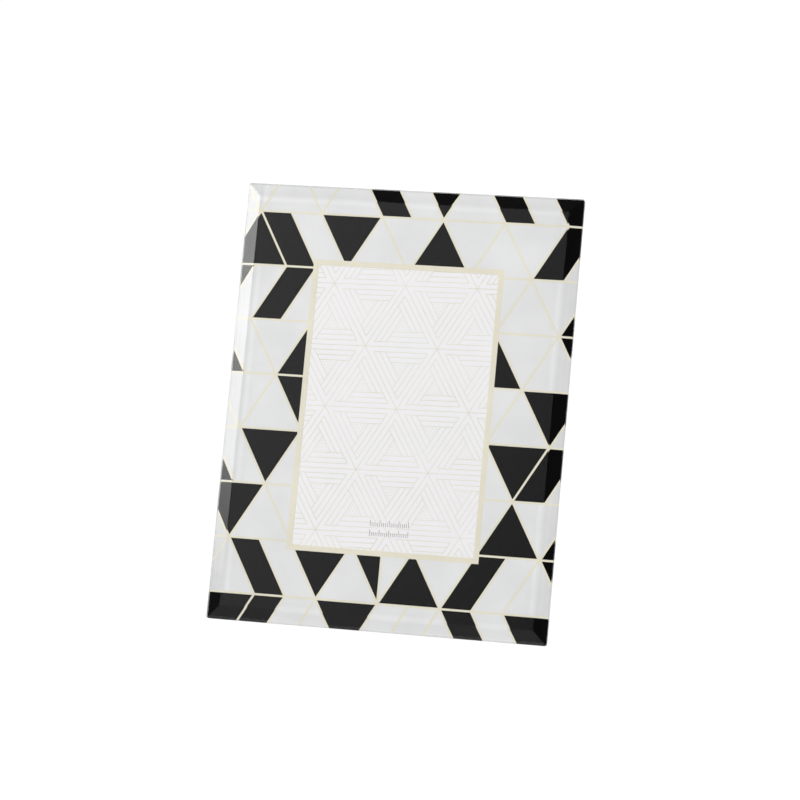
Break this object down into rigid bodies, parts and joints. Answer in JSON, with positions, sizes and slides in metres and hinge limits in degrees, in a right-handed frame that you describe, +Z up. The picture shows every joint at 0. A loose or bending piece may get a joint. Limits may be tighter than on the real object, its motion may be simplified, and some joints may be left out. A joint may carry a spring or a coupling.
{
  "type": "glass picture frame",
  "caption": "Upright bevelled glass picture frame with a reverse-printed triangle mosaic border, a clear window for a photo and a folding easel strut behind.",
  "frame": {"origin": "middle of the bounding box, on the surface that the frame stands on", "axes": "+Z up, +X to the right as seen from the front, +Y towards the easel strut at the rear"},
  "size_m": [0.1778, 0.086, 0.2156],
  "materials": {
    "glass": "clear, polished bevel",
    "gold_ink": "pale gold ink, satin",
    "white_ink": "white ink, satin",
    "black_ink": "black ink, satin",
    "photo_card": "coated printed card",
    "grey_board": "uncoated grey board",
    "tape": "foam tape",
    "flocked_board": "fibreboard covered in black velvet paper",
    "steel": "nickel plated",
    "black_steel": "black satin"
  },
  "bodies": {
    "frame": {"glass_plate": "glass", "gold_print": "gold_ink", "white_print": "white_ink", "black_print": "black_ink", "photo_card": "photo_card", "filler_card": "grey_board", "tape_left": "tape", "tape_right": "tape", "tape_bottom": "tape", "tape_top": "tape", "back_frame": "flocked_board", "backing_panel": "flocked_board", "turn_screw_left_upper": "steel", "turn_screw_left_lower": "steel", "turn_screw_right_upper": "steel", "turn_screw_right_lower": "steel", "hinge_base": "black_steel", "hinge_pin": "steel", "base_rivet_left": "steel", "base_rivet_right": "steel"},
    "strut": {"easel_strut": "flocked_board", "hinge_leaf": "black_steel", "leaf_rivet_left": "steel", "leaf_rivet_right": "steel"},
    "button_left_upper": {"turn_button_left_upper": "steel"},
    "button_left_lower": {"turn_button_left_lower": "steel"},
    "button_right_upper": {"turn_button_right_upper": "steel"},
    "button_right_lower": {"turn_button_right_lower": "steel"}
  },
  "joints": [
    {"name": "strut_fold", "type": "hinge", "parent": "frame", "child": "strut", "pos_m": [0, 0.01945, 0.13767], "axis": [-1, 0, 0], "range_deg": [0, 30]},
    {"name": "left_upper_turn", "type": "hinge", "parent": "frame", "child": "button_left_upper", "pos_m": [-0.0581, 0.01949, 0.14861], "axis": [0, 0.9397, -0.342], "continuous": true},
    {"name": "left_lower_turn", "type": "hinge", "parent": "frame", "child": "button_left_lower", "pos_m": [-0.0581, -0.01197, 0.06216], "axis": [0, 0.9397, -0.342], "continuous": true},
    {"name": "right_upper_turn", "type": "hinge", "parent": "frame", "child": "button_right_upper", "pos_m": [0.0581, 0.01949, 0.14861], "axis": [0, 0.9397, -0.342], "continuous": true},
    {"name": "right_lower_turn", "type": "hinge", "parent": "frame", "child": "button_right_lower", "pos_m": [0.0581, -0.01197, 0.06216], "axis": [0, 0.9397, -0.342], "continuous": true}
  ]
}
